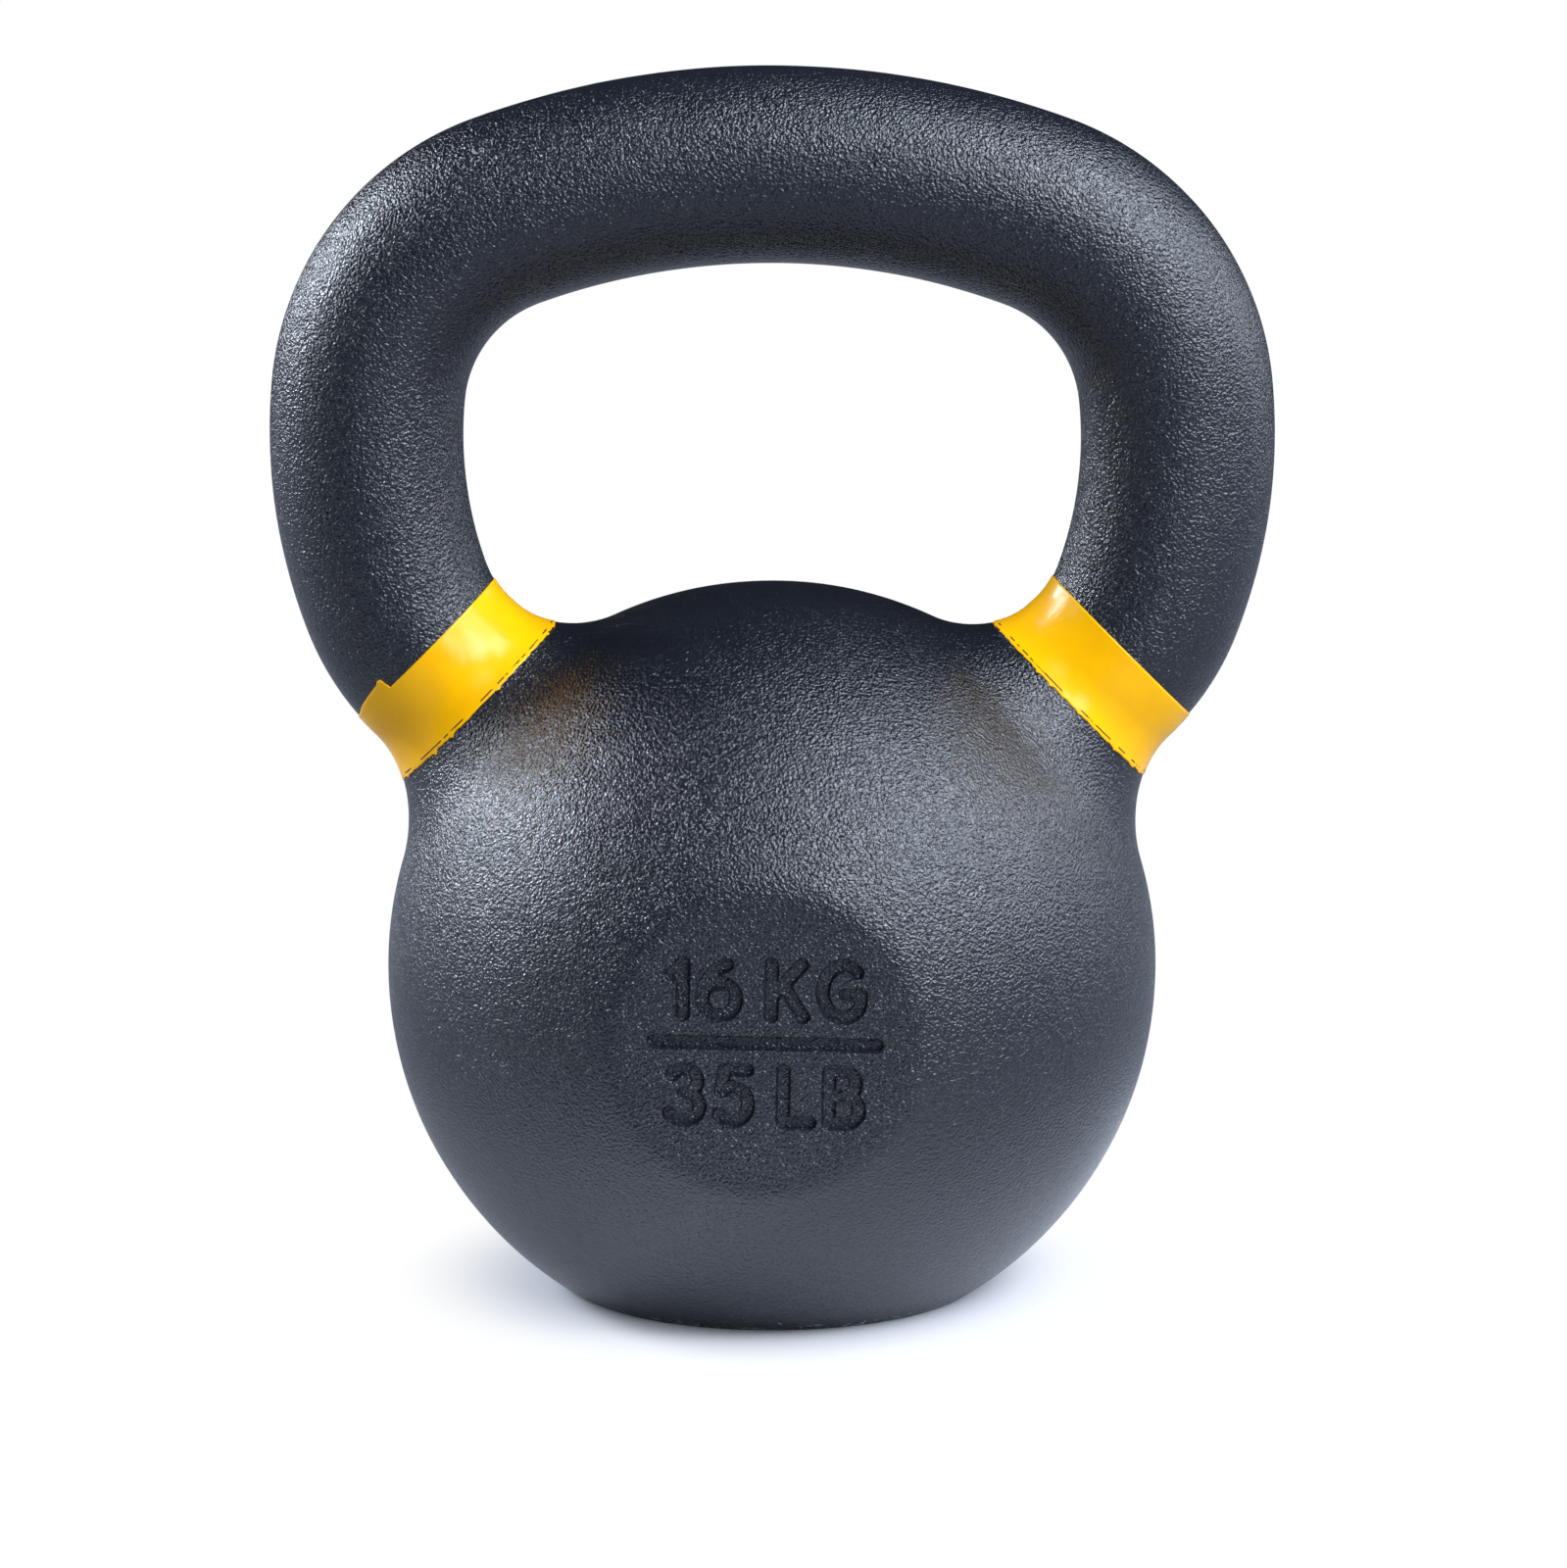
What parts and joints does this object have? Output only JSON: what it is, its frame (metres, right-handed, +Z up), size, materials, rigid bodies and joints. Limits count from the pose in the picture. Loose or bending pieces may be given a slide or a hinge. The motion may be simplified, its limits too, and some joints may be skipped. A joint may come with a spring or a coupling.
{
  "type": "kettlebell",
  "caption": "Cast-iron kettlebell: a solid ball on a flat foot, with a bowed loop handle, round weight faces front and back, a textured dark coat and a painted yellow band on each horn.",
  "frame": {"origin": "centre of the flat foot, on the floor", "axes": "+Z up through the ball's centre to the middle of the grip, X along the grip with +X at the right end seen from the front, weight face towards -Y"},
  "size_m": [0.1982, 0.1414, 0.2435],
  "materials": {
    "iron": "grey iron, ground flat and bare on the foot",
    "coat": "textured charcoal powder coat, satin, with a fine orange-peel grain",
    "band_paint": "glossy yellow enamel, brushed on over the coat"
  },
  "bodies": {
    "root": {"iron_casting": "iron", "powder_coat": "coat", "left_colour_band": "band_paint", "right_colour_band": "band_paint"}
  },
  "joints": []
}
